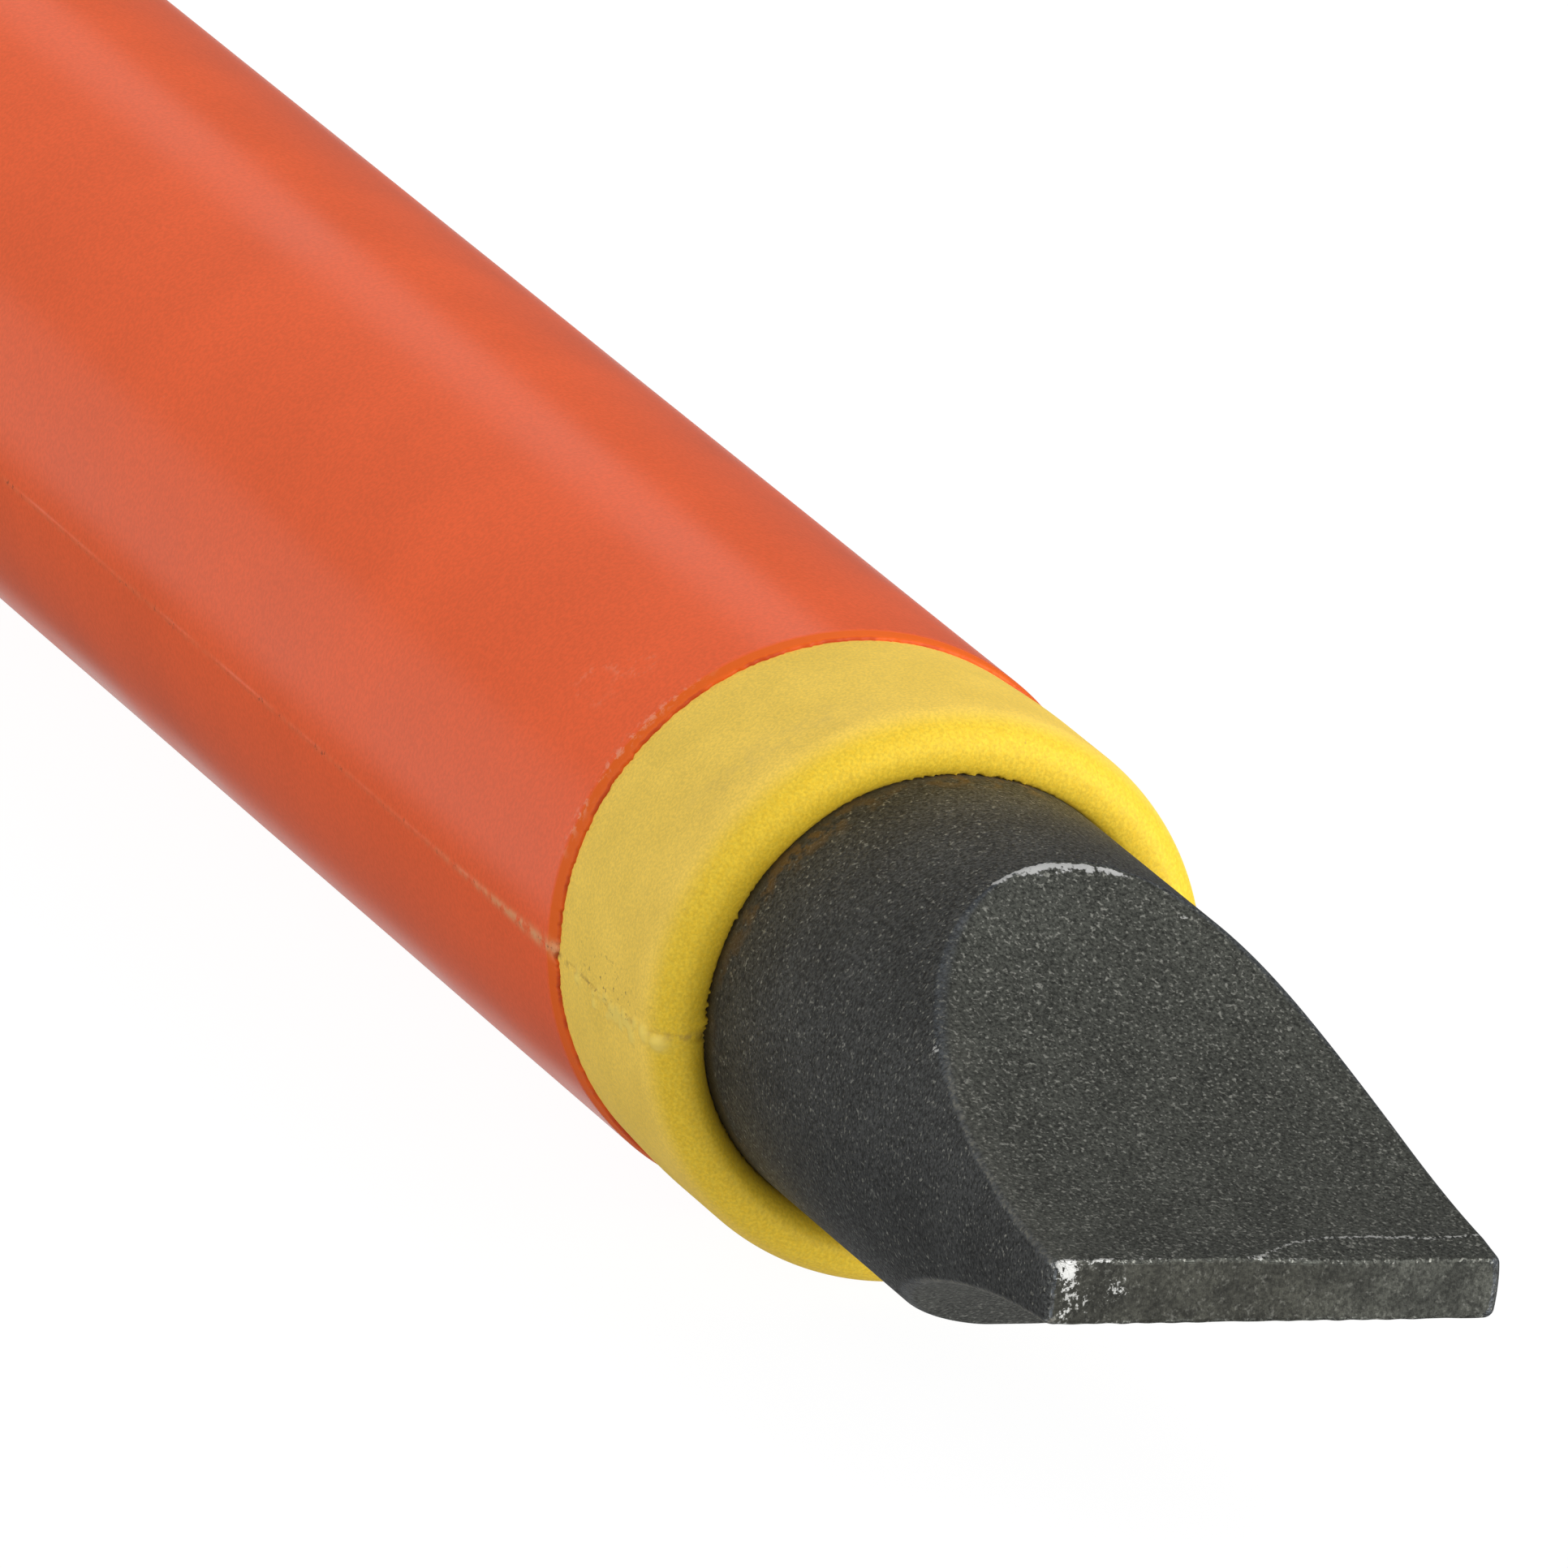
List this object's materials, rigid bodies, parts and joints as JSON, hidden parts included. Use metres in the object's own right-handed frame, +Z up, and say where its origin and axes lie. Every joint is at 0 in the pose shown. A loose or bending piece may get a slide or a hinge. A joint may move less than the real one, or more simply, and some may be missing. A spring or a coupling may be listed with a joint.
{
  "type": "cold chisel",
  "caption": "Insulated cold chisel: a round steel bar hollow ground to a blunt cutting end, in a two-layer insulating sleeve with raised collars and a bare struck head.",
  "frame": {"origin": "on the bench under the middle of the chisel's length: the bottom centre of the box, with the chisel lying on its side", "axes": "+X along the chisel's axis towards the cutting end, +Y across the blade, +Z up"},
  "size_m": [0.178, 0.024, 0.024],
  "materials": {
    "steel": "matte, dark grey, blasted and oiled black oxide",
    "inner_layer": "matte yellow, fine grain",
    "outer_layer": "satin orange"
  },
  "bodies": {
    "root": {"chisel_bar": "steel", "inner_insulation": "inner_layer", "outer_insulation": "outer_layer"}
  },
  "joints": []
}
